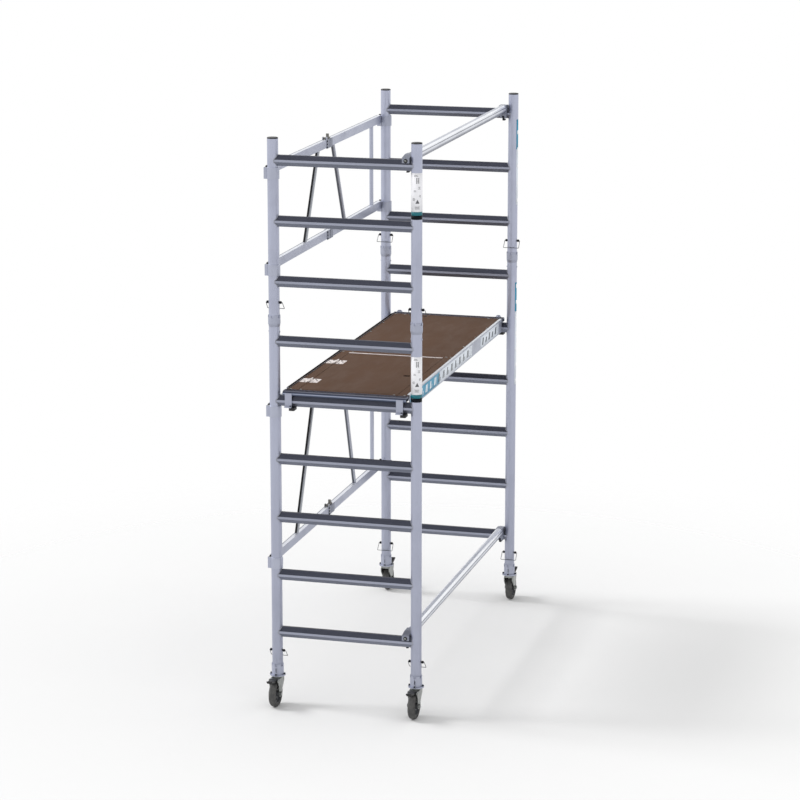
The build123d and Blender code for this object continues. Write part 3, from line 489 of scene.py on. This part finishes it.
MATERIALS = {
    "post_aluminium": post_material(),
    "rung_aluminium": rung_material(),
    "cast_aluminium": cast_metal("cast_aluminium", srgb(174, 178, 194)),
    "deck_aluminium": side_beam_metal(),
    "end_beam_aluminium": end_beam_metal(),
    "inner_aluminium": inner_metal(),
    "brace_aluminium": brace_metal(),
    # The first colour given to each side frame is painted strut shade.
    "front_leaf_aluminium": side_frame_metal(
        "front_leaf_aluminium", painted_shade=srgb(12, 13, 16), light=srgb(164, 167, 173)
    ),
    "latch_steel": cast_metal("latch_steel", srgb(122, 120, 116)),
    "claw_metal": cast_metal("claw_metal", srgb(146, 150, 164)),
    "rear_leaf_aluminium": side_frame_metal(
        "rear_leaf_aluminium", painted_shade=srgb(88, 91, 100), light=srgb(178, 181, 192)
    ),
    "hinge_leaf": hinge_leaf(),
    "seam_aluminium": drawn_metal("seam_aluminium", srgb(236, 224, 222), (0.02, 1, 1)).material,
    "zinc_steel": zinc(),
    "wire_steel": spring_wire(),
    "dark_steel": dark_steel(),
    "black_plastic": plastic("black_plastic", srgb(24, 24, 26)),
    "hub_plastic": plastic("hub_plastic", srgb(70, 71, 74), rough=(0.38, 0.55)),
    "tyre_rubber": rubber(),
    "plywood": plywood(),
    "weld_metal": weld_metal(),
    "white_vinyl": vinyl("white_vinyl", srgb(236, 236, 240)),
    "silver_vinyl": vinyl("silver_vinyl", srgb(212, 219, 228), speck=0.92),
    "teal_vinyl": vinyl("teal_vinyl", srgb(0, 134, 170)),
    "deep_teal_vinyl": vinyl("deep_teal_vinyl", srgb(0, 104, 116), speck=0.8),
    "black_vinyl": vinyl("black_vinyl", srgb(10, 14, 20), speck=1.3, gloss=0.1),
    "mark_vinyl": vinyl("mark_vinyl", srgb(30, 34, 40), speck=1.2, gloss=0.2),
}

# The CAD nodes that each material goes on, by the start of their names
FINISHES = {
    "post_aluminium": ("lower_posts", "upper_posts"),
    "rung_aluminium": ("lower_rungs", "upper_rungs"),
    "cast_aluminium": (
        "joint_spigots", "spigot_rivets", "caster_sockets", "deck_hooks", "rear_post_sleeves",
    ),
    "deck_aluminium": ("deck_side_beams",),
    "end_beam_aluminium": ("deck_end_beams",),
    "inner_aluminium": ("deck_cross_members",),
    "seam_aluminium": ("hatch_frame",),
    "brace_aluminium": ("brace_tubes",),
    "claw_metal": ("brace_claws",),
    "front_leaf_aluminium": ("side_frame_lower_front", "side_frame_upper_front"),
    "rear_leaf_aluminium": ("side_frame_lower_rear", "side_frame_upper_rear"),
    "latch_steel": ("fold_latch",),
    "hinge_leaf": ("hatch_hinge",),
    "plywood": ("deck_panel", "hatch_lid"),
    "dark_steel": ("post_lock_pins", "socket_screws", "brace_trigger"),
    "wire_steel": ("caster_bail", "joint_bail"),
    "zinc_steel": ("fork",),
    "black_plastic": ("post_caps", "wind_lock", "brake_pedal"),
    "hub_plastic": ("hub",),
    "tyre_rubber": ("tyre",),
}


def finish_of(node):
    """The material's name for a CAD node."""
    for material, starts in FINISHES.items():
        if node.startswith(starts):
            return material
    raise KeyError(node)


def dress_cad_nodes():
    """Give every CAD node its procedural material."""
    for name, node in NODES.items():
        node.data.materials.clear()
        node.data.materials.append(MATERIALS[finish_of(name)])


# -------------------------------------------------------------- mesh helpers


def piece_from(name, mesh, body, materials):
    """Make a piece of a finished bmesh, with its materials and body."""
    data = bpy.data.meshes.new(name)
    mesh.to_mesh(data)
    mesh.free()
    for material in materials:
        data.materials.append(MATERIALS[material])
    piece = bpy.data.objects.new(name, data)
    bpy.context.scene.collection.objects.link(piece)
    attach(piece, body)
    return piece


def sheet_patch(mesh, place, u_range, v_range, step, material):
    """Quads over a rectangle of (u, v), put in space by place(u, v)."""
    u0, u1 = u_range
    v0, v1 = v_range
    count = max(1, math.ceil((u1 - u0) / step))
    columns = []
    for i in range(count + 1):
        u = u0 + (u1 - u0) * i / count
        columns.append((mesh.verts.new(place(u, v0)), mesh.verts.new(place(u, v1))))
    for left, right in zip(columns, columns[1:]):
        face = mesh.faces.new((left[0], right[0], right[1], left[1]))
        face.material_index = material
        face.smooth = True


def thicken(piece, thickness):
    """Give a sheet its thickness, inwards, as a modifier."""
    solidify = piece.modifiers.new("thickness", "SOLIDIFY")
    solidify.thickness = thickness
    solidify.offset = -1


def tube_along(mesh, points, radius_at, sides=6):
    """A closed tube round a loop of points, with its radius as a function of the point's number."""
    rings = []
    total = len(points)
    for i, point in enumerate(points):
        along = (points[(i + 1) % total] - points[i - 1]).normalized()
        side = (side - along * side.dot(along)).normalized() if i else along.orthogonal().normalized()
        up = along.cross(side)
        ring = []
        for k in range(sides):
            angle = 2 * math.pi * k / sides
            out = side * math.cos(angle) + up * math.sin(angle)
            ring.append(mesh.verts.new(point + out * radius_at(i)))
        rings.append(ring)
    for i, ring in enumerate(rings):
        after = rings[(i + 1) % total]
        shift = nearest_shift(ring, after) if i == total - 1 else 0
        for k in range(sides):
            here = (ring[k], ring[(k + 1) % sides])
            there = (after[(k + 1 + shift) % sides], after[(k + shift) % sides])
            mesh.faces.new(here + there).smooth = True


def nearest_shift(a, b):
    """How far ring b must turn to meet ring a, so that a closed tube has no twist."""
    gaps = [(a[0].co - vert.co).length for vert in b]
    return gaps.index(min(gaps))


DOME_PROFILE = ((1.0, 0.0), (1.0, 0.3), (0.86, 0.68), (0.55, 0.92), (0.0, 1.0))
DOME_SIDES = 20


def dome(mesh, centre, radius, height, axis="Z", material=0):
    """A rounded rivet or cap head standing on a surface, along +axis or -axis."""
    # The axes of space that its own x, y and z lie along
    turn = {"Z": (0, 1, 2), "X": (1, 2, 0), "Y": (2, 0, 1)}[axis[-1]]
    sign = -1 if axis[0] == "-" else 1
    rings = []
    for share, rise in DOME_PROFILE:
        ring = []
        for k in range(DOME_SIDES if share else 1):
            angle = 2 * math.pi * k / DOME_SIDES
            out = radius * share
            local = (math.cos(angle) * out, math.sin(angle) * out, sign * rise * height)
            spot = Vector((0, 0, 0))
            for source, target in enumerate(turn):
                spot[target] = local[source]
            ring.append(mesh.verts.new(centre + spot))
        rings.append(ring)
    for low, high in zip(rings, rings[1:]):
        for k in range(DOME_SIDES):
            after = (k + 1) % DOME_SIDES
            upper = [high[after], high[k]] if len(high) > 1 else [high[0]]
            corners = [low[k], low[after]] + upper
            face = mesh.faces.new(corners if sign > 0 else corners[::-1])
            face.smooth = True
            face.material_index = material
    base = mesh.faces.new(rings[0][::-1] if sign > 0 else rings[0])
    base.material_index = material


# -------------------------------------------------------------------- labels

# How far a label's film and the print on it stand off the surface, how thick they are, and the
# length of their quads round a post
LABEL_LIFT = 0.00025
LABEL_THICKNESS = 0.0002
LABEL_STEP = 0.003
MARK_LIFT = 0.0004
MARK_THICKNESS = 0.0001
MARK_STEP = 0.002


def round_post(corner, facing, lift):
    """Places (u, v) on a post: u is round it from the side that faces, v is the height."""
    x, y = CORNERS[corner]
    radius = POST_RADIUS + lift

    def place(u, v):
        angle = facing + u / POST_RADIUS
        return Vector((x + radius * math.sin(angle), y - radius * math.cos(angle), v))

    return place


def post_bands(name, corner, facing, width, bands):
    """A wrapped label of plain bands: (low, high, material name), one above the other."""
    names = sorted({band[2] for band in bands})
    mesh = bmesh.new()
    place = round_post(corner, facing, LABEL_LIFT)
    across = (-width / 2, width / 2)
    for low, high, material in bands:
        sheet_patch(mesh, place, across, (low, high), LABEL_STEP, names.index(material))
    thicken(piece_from(name, mesh, "tower", names), LABEL_THICKNESS)


def marks_on_post(name, corner, facing, bars, material):
    """Small plain marks on a label: each bar is (middle u, width, low, high)."""
    mesh = bmesh.new()
    place = round_post(corner, facing, MARK_LIFT)
    for middle, width, low, high in bars:
        across = (middle - width / 2, middle + width / 2)
        sheet_patch(mesh, place, across, (low, high), MARK_STEP, material=0)
    thicken(piece_from(name, mesh, "tower", [material]), MARK_THICKNESS)


def triangle(u, v, size, rows=6):
    """A triangle of bars, wide at the foot."""
    step = size / rows
    bars = []
    for i in range(rows):
        width = size * (1 - (i + 0.5) / rows)
        bars.append((u, width, v + i * step, v + (i + 0.82) * step))
    return bars


def ladder_sign(u, v, size):
    """A plain pictogram of a ladder: two stiles and four rungs."""
    bars = [(u + side * size * 0.3, size * 0.12, v, v + size * 1.6) for side in (-1, 1)]
    for i in range(4):
        foot = v + size * (0.2 + 0.36 * i)
        bars.append((u, size * 0.5, foot, foot + size * 0.1))
    return bars


def notes(u, v, lengths, pitch):
    """Short plain lines, one under the other."""
    line = 0.0016
    return [(u, length, v - i * pitch, v - i * pitch + line) for i, length in enumerate(lengths)]


# The heights of the front label's fields, from the top down, and its groups of plain lines: the
# middle round the post, the height above the white field's foot, the lines' lengths, their pitch
FRONT_FIELDS = (("white_vinyl", 0.176), ("deep_teal_vinyl", 0.017), ("black_vinyl", 0.019))
FRONT_NOTES = (
    (0.012, 0.112, (0.012, 0.009, 0.012), 0.0045),
    (-0.009, 0.096, (0.010, 0.012), 0.005),
    (0.002, 0.022, (0.024, 0.018, 0.022), 0.0045),
    (-0.004, 0.166, (0.014, 0.020), 0.0045),
    (0.016, 0.075, (0.008, 0.010, 0.006), 0.0045),
    (-0.014, 0.060, (0.010, 0.014, 0.010), 0.0045),
)


def front_post_labels():
    """The wrapped labels on the front right post, one on each storey."""
    facing = math.radians(15)
    wrap = POST_RADIUS * math.radians(300)
    for storey, foot in (("upper", 2.394), ("lower", 1.550)):
        bands = []
        top = foot + FRONT_FIELDS[0][1]
        for material, height in FRONT_FIELDS:
            bands.append((top - height, top, material))
            top -= height
        post_bands(f"{storey}_front_label", "front_right", facing, wrap, bands)
        bars = ladder_sign(u=0.004, v=foot + 0.128, size=0.017)
        bars += triangle(u=0.003, v=foot + 0.038, size=0.019)
        for u, rise, lengths, pitch in FRONT_NOTES:
            bars += notes(u, foot + rise, lengths, pitch)
        marks_on_post(f"{storey}_front_marks", "front_right", facing, bars, "mark_vinyl")


def rear_post_labels():
    """The long labels down the outer face of the rear right post, silver below and teal above."""
    facing = math.radians(96)
    wrap = POST_RADIUS * math.radians(84)
    mark_pitch, mark_width, mark_height, mark_foot = 0.042, 0.012, 0.02, 0.012
    runs = {"upper": (2.132, 2.418, 2.572), "lower": (1.182, 1.571, 1.724)}
    for storey, (low, middle, high) in runs.items():
        bands = [(low, middle, "silver_vinyl"), (middle, high, "teal_vinyl")]
        post_bands(f"{storey}_rear_label", "rear_right", facing, wrap, bands)
        bars = []
        count = round((high - low) / mark_pitch)
        for i in range(count):
            foot = low + mark_foot + i * (high - low) / count
            bars.append(((i % 2 - 0.5) * mark_width, mark_width, foot, foot + mark_height))
        marks_on_post(f"{storey}_rear_marks", "rear_right", facing, bars, "white_vinyl")


def slanted(mesh, place, width, height, lean, material):
    """A slanted bar on the beam's outer face, with its near foot at the place (x, y, z)."""
    x, y, z = place
    corners = [(y, z), (y + width, z), (y + width + lean, z + height), (y + lean, z + height)]
    face = mesh.faces.new([mesh.verts.new((x, a, b)) for a, b in corners])
    face.material_index = material


# Where the long sticker turns from teal to silver and ends, and where the rear one is, along Y
TEAL_END = -0.370
SILVER_END = 0.278
REAR_STICKER = (0.455, 0.850)


def beam_labels():
    """The long sticker on the right-hand beam, teal at the front, and the small one at the rear."""
    face_x = BEAM_HIGH.x + LABEL_LIFT
    low, high = BEAM_LOW.z + 0.006, BEAM_HIGH.z - 0.008
    fields = {
        "teal": ((BEAM_LOW.y + 0.012, TEAL_END), "teal_vinyl"),
        "silver": ((TEAL_END, SILVER_END), "silver_vinyl"),
        "rear": (REAR_STICKER, "silver_vinyl"),
    }
    for name, (span, material) in fields.items():
        mesh = bmesh.new()
        sheet_patch(mesh, lambda u, v: (face_x, u, v), span, (low, high), step=0.1, material=0)
        thicken(piece_from(f"beam_label_{name}", mesh, "tower", [material]), LABEL_THICKNESS)
    beam_marks(foot=low + (high - low) * 0.19, tall=(high - low) * 0.62)


def beam_marks(foot, tall):
    """Plain slanted bars on the stickers: white on the teal, dark on the silver."""
    x = BEAM_HIGH.x + MARK_LIFT
    first, pitch, second = BEAM_LOW.y + 0.045, 0.080, 0.028
    rear_first, rear_pitch = REAR_STICKER[0] + 0.035, 0.068
    mesh = bmesh.new()
    for i in range(14):
        y = first + i * pitch
        material = 0 if y + pitch / 2 < TEAL_END else 1
        short = tall * (0.5 + 0.5 * (i % 2))
        slanted(mesh, (x, y, foot), width=0.016, height=tall, lean=0.012, material=material)
        slanted(mesh, (x, y + second, foot), width=0.008, height=short, lean=0.008, material=material)
    for i in range(5):
        height = tall * (1 - 0.25 * (i % 2))
        place = (x, rear_first + i * rear_pitch, foot)
        slanted(mesh, place, width=0.022, height=height, lean=0.014, material=1)
    piece = piece_from("beam_label_marks", mesh, "tower", ["white_vinyl", "mark_vinyl"])
    thicken(piece, MARK_THICKNESS)


# --------------------------------------------------------------------- welds

# A weld bead's radius, how much of it is ripple, and the distance between its rings
BEAD = 0.0021
BEAD_RIPPLE = 0.14
BEAD_STEP = 0.0028


def rung_loop():
    """The rung's outline as evenly spaced (y, z) points, z from the rung's middle."""
    corners = list(RUNG_OUTLINE) + [(-y, z) for y, z in reversed(RUNG_OUTLINE)]
    loop = []
    for (y0, z0), (y1, z1) in zip(corners, corners[1:] + corners[:1]):
        count = max(1, round(math.hypot(y1 - y0, z1 - z0) / BEAD_STEP))
        for i in range(count):
            share = i / count
            loop.append((y0 + (y1 - y0) * share, z0 + (z1 - z0) * share))
    return loop


def rung_welds():
    """A rippled bead round each end of each rung, where it meets the post."""
    middle = RUNG_BASE - RUNG_OUTLINE[0][1]
    loop = rung_loop()
    for storey, first, count in (("lower", 0, 6), ("upper", 6, 3)):
        mesh = bmesh.new()
        for number in range(first, first + count):
            for side in (-1, 1):
                for end in (-1, 1):
                    points = []
                    for y, z in loop:
                        depth = math.sqrt(POST_RADIUS ** 2 - y ** 2)
                        height = middle + RUNG_PITCH * number + z
                        points.append(Vector((side * (HALF_X - depth), end * HALF_Y + y, height)))
                    tube_along(mesh, points, lambda i: BEAD * (1 - BEAD_RIPPLE * (1 - i % 2)))
        piece_from(f"{storey}_rung_welds", mesh, "tower", ["weld_metal"])


# --------------------------------------------------------------- small parts


def deck_screws():
    """Pan-head screws that hold the panel down, with two behind the hatch."""
    edge_x = BEAM_HIGH.x - 0.022
    end_y = HALF_Y - 0.034
    rows = (-0.06, 0.20, 0.44, 0.68)
    beside, behind_hatch, right_of_corner = 0.05, 0.035, 0.012
    spots = []
    for end in (-1, 1):
        for side in (-1, 1):
            spots.append((side * edge_x, end * end_y))
            spots.append((side * (edge_x - beside), end * end_y))
    for y in rows:
        spots += [(-edge_x, y), (edge_x, y)]
    for corner in (HATCH_LOW, HATCH_HIGH):
        spots.append((corner.x + right_of_corner, HATCH_HIGH.y + behind_hatch))
    mesh = bmesh.new()
    for x, y in spots:
        dome(mesh, Vector((x, y, DECK_TOP)), radius=0.0055, height=0.0015)
    piece_from("deck_screws", mesh, "tower", ["zinc_steel"])


def hinge_screws():
    """Low-headed screws in the hatch's hinge leaves, fixed and moving, in staggered rows."""
    plate_low, plate_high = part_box("hatch_hinge_plates")
    strap_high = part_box("hatch_hinge_straps")[1]
    leaf_half, inset, stagger, pitch = 0.040, 0.012, 0.012, 0.027
    leaves = {
        "hinge_plate_screws": ("tower", plate_low.x + inset, 1),
        "hinge_strap_screws": ("hatch", strap_high.x - inset, -1),
    }
    for name, (body, x, inwards) in leaves.items():
        mesh = bmesh.new()
        for middle in (plate_low.y + leaf_half, plate_high.y - leaf_half):
            for i in (-1, 0, 1):
                across = x + stagger * (i % 2) * inwards
                place = Vector((across, middle + i * pitch, DECK_TOP))
                dome(mesh, place, radius=0.0045, height=0.0009)
        piece_from(name, mesh, body, ["dark_steel"])


def sleeve_buttons():
    """The black button on top of each sleeve's block."""
    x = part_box("rear_post_sleeves")[0].x + 0.0085
    y = HALF_Y - 0.004
    above_rail = 0.0145
    for body, rails in RAILS.items():
        for corner, end, rider in (("front", -1, f"{body}_front"), ("rear", 1, "tower")):
            mesh = bmesh.new()
            for rail in rails:
                dome(mesh, Vector((x, end * y, rail + above_rail)), radius=0.0065, height=0.008)
            piece_from(f"{body}_{corner}_buttons", mesh, rider, ["black_plastic"])


def split_plates():
    """The plates on the rails' inner faces, at both sides of the split; the front ones are riveted."""
    height, drop = 0.045, 0.002
    proud, sunk = 0.0015, 0.0005
    rivet_inset, rivet_rises = 0.008, (-0.018, -0.003, 0.012)
    face = RAIL_X + RAIL_HALF_WIDTH
    across = face + (proud - sunk) / 2
    for body, rails in RAILS.items():
        for leaf, near, far in (("front", -0.054, -0.003), ("rear", 0.003, 0.044)):
            mesh = bmesh.new()
            size = Matrix.Diagonal((proud + sunk, far - near, height, 1))
            for rail in rails:
                place = Matrix.Translation((across, (near + far) / 2, rail - drop))
                bmesh.ops.create_cube(mesh, size=1, matrix=place @ size)
                for rise in rivet_rises if leaf == "front" else ():
                    rivet = Vector((face + proud, near + rivet_inset, rail + rise))
                    dome(mesh, rivet, radius=0.005, height=0.003, axis="X", material=1)
            materials = ["claw_metal", "dark_steel"]
            piece_from(f"{body}_{leaf}_split_plates", mesh, f"{body}_{leaf}", materials)


def tyre_ribs():
    """Ribs round both walls of each tyre."""
    rib_shares, rib_radius, steps = (0.82, 0.90), 0.0008, 72
    for corner in CORNERS:
        low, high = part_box(f"tyre_{corner}")
        centre = (low + high) / 2
        radius = (high.z - low.z) / 2
        mesh = bmesh.new()
        for x in (low.x, high.x):
            for share in rib_shares:
                points = []
                for i in range(steps):
                    angle = 2 * math.pi * i / steps
                    y = centre.y + radius * share * math.cos(angle)
                    z = centre.z + radius * share * math.sin(angle)
                    points.append(Vector((x, y, z)))
                tube_along(mesh, points, lambda i: rib_radius)
        piece_from(f"tyre_ribs_{corner}", mesh, f"wheel_{corner}", ["tyre_rubber"])


def claw_knobs():
    """The dark ringed plug in the outer face of each brace claw."""
    low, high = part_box("brace_claws")
    middle = (low.x + high.x) / 2
    below_top, sunk = 0.024, 0.001
    mesh = bmesh.new()
    for top in (low.z + CLAW_HEIGHT, high.z):
        for end, axis in ((-1, "-Y"), (1, "Y")):
            face = end * max(-low.y, high.y)
            centre = Vector((middle, face, top - below_top))
            base = centre - Vector((0, end * sunk, 0))
            dome(mesh, base, radius=0.0098, height=0.0035, axis=axis)
            dome(mesh, centre, radius=0.0050, height=0.0050, axis=axis, material=1)
    piece_from("claw_knobs", mesh, "tower", ["black_plastic", "zinc_steel"])


def deck_stops():
    """The small rounded stops on the rear end beam, over the hooks."""
    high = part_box("deck_end_beams")[1]
    out, inset = 0.2665, 0.016
    mesh = bmesh.new()
    for side in (-1, 1):
        dome(mesh, Vector((side * out, high.y - inset, high.z)), radius=0.014, height=0.012)
    piece_from("deck_stops", mesh, "tower", ["cast_aluminium"])


def build_pieces():
    """Everything that is added to the CAD model."""
    front_post_labels()
    rear_post_labels()
    beam_labels()
    rung_welds()
    deck_screws()
    hinge_screws()
    sleeve_buttons()
    split_plates()
    tyre_ribs()
    claw_knobs()
    deck_stops()


# --------------------------------------------------- floor, light and camera


# The floor: its radius, how far it is under the wheels, and the radii between which it fades out
FLOOR_RADIUS = 5.0
FLOOR_DROP = 0.0005
FLOOR_FADE = (1.1, 3.6)


def floor_material():
    """A pale floor that fades out into the white surround."""
    g = Graph("floor_grey")
    g.colour(g.mix(g.noise(0.8, 2), srgb(214, 214, 214), srgb(218, 218, 218)))
    g.uniform(Roughness=0.9, Specular_IOR_Level=0.1)
    far = g.add("ShaderNodeVectorMath", operation="LENGTH")
    g.put(far.inputs[0], g.place)
    fade = g.span(far.outputs["Value"], *FLOOR_FADE)
    clear = g.add("ShaderNodeBsdfTransparent")
    mixed = g.add("ShaderNodeMixShader")
    g.put(mixed.inputs[0], fade)
    g.put(mixed.inputs[1], g.shader.outputs[0])
    g.put(mixed.inputs[2], clear.outputs[0])
    g.put(g.tree.nodes["Material Output"].inputs["Surface"], mixed.outputs[0])
    return g.material


def add_floor():
    """A round plain floor under the wheels."""
    mesh = bmesh.new()
    bmesh.ops.create_circle(mesh, cap_ends=True, segments=96, radius=FLOOR_RADIUS)
    data = bpy.data.meshes.new("floor")
    mesh.to_mesh(data)
    mesh.free()
    data.materials.append(floor_material())
    floor = bpy.data.objects.new("floor", data)
    floor.location.z = -FLOOR_DROP
    bpy.context.scene.collection.objects.link(floor)


# How bright the studio is by height, from straight down (0) to straight up (1)
STUDIO = (
    (0.0, 0.55),
    (0.28, 0.62),
    (0.44, 1.0),
    (0.56, 1.12),
    (0.72, 1.1),
    (0.84, 0.35),
    (1.0, 0.2),
)


def studio_world():
    """A white surround; what the metal mirrors is a studio, bright at the sides and dim overhead."""
    world = bpy.data.worlds.new("studio")
    world.use_nodes = True
    nodes, links = world.node_tree.nodes, world.node_tree.links
    coords = nodes.new("ShaderNodeTexCoord")
    split = nodes.new("ShaderNodeSeparateXYZ")
    links.new(coords.outputs["Generated"], split.inputs[0])
    height = nodes.new("ShaderNodeMapRange")
    links.new(split.outputs["Z"], height.inputs["Value"])
    height.inputs["From Min"].default_value = -1
    ramp = nodes.new("ShaderNodeValToRGB")
    links.new(height.outputs["Result"], ramp.inputs["Fac"])
    stops = ramp.color_ramp.elements
    for position, _ in STUDIO[1:-1]:
        stops.new(position)
    for stop, (_, level) in zip(stops, STUDIO):
        stop.color = (level, level, level, 1.0)
    path = nodes.new("ShaderNodeLightPath")
    pick = nodes.new("ShaderNodeMix")
    pick.data_type = "RGBA"
    links.new(path.outputs["Is Glossy Ray"], pick.inputs[0])
    pick.inputs[6].default_value = (1, 1, 1, 1)
    links.new(ramp.outputs["Color"], pick.inputs[7])
    links.new(pick.outputs[2], nodes["Background"].inputs["Color"])
    return world


# The key light: the way it shines, its strength and how wide it is
KEY_DIRECTION = (0.80, 0.02, -0.72)
KEY_STRENGTH = 1.9
KEY_ANGLE = math.radians(18)


def add_light():
    """White surround and one soft key from the left."""
    scene = bpy.context.scene
    scene.world = studio_world()
    data = bpy.data.lights.new("key", "SUN")
    data.energy = KEY_STRENGTH
    data.angle = KEY_ANGLE
    key = bpy.data.objects.new("key", data)
    key.rotation_euler = Vector(KEY_DIRECTION).to_track_quat("-Z", "Y").to_euler()
    scene.collection.objects.link(key)
    scene.view_settings.view_transform = "Standard"


# The photograph's viewpoint: the lens in millimetres, the place, and the way that it looks
LENS = 128.0
VIEWPOINT = (3.6115, -13.208, 4.447)
LOOKING_DOWN = math.radians(12.9945)
TURNED_LEFT = math.radians(15.296)


def add_camera():
    """A long lens from the front right, a little above the middle."""
    data = bpy.data.cameras.new("camera")
    data.lens = LENS
    data.sensor_width = 36.0
    data.clip_end = 100.0
    camera = bpy.data.objects.new("camera", data)
    camera.location = VIEWPOINT
    camera.rotation_euler = (math.pi / 2 - LOOKING_DOWN, 0, TURNED_LEFT)
    bpy.context.scene.collection.objects.link(camera)
    bpy.context.scene.camera = camera


dress_cad_nodes()
build_pieces()
add_floor()
add_light()
add_camera()

bpy.context.view_layer.update()
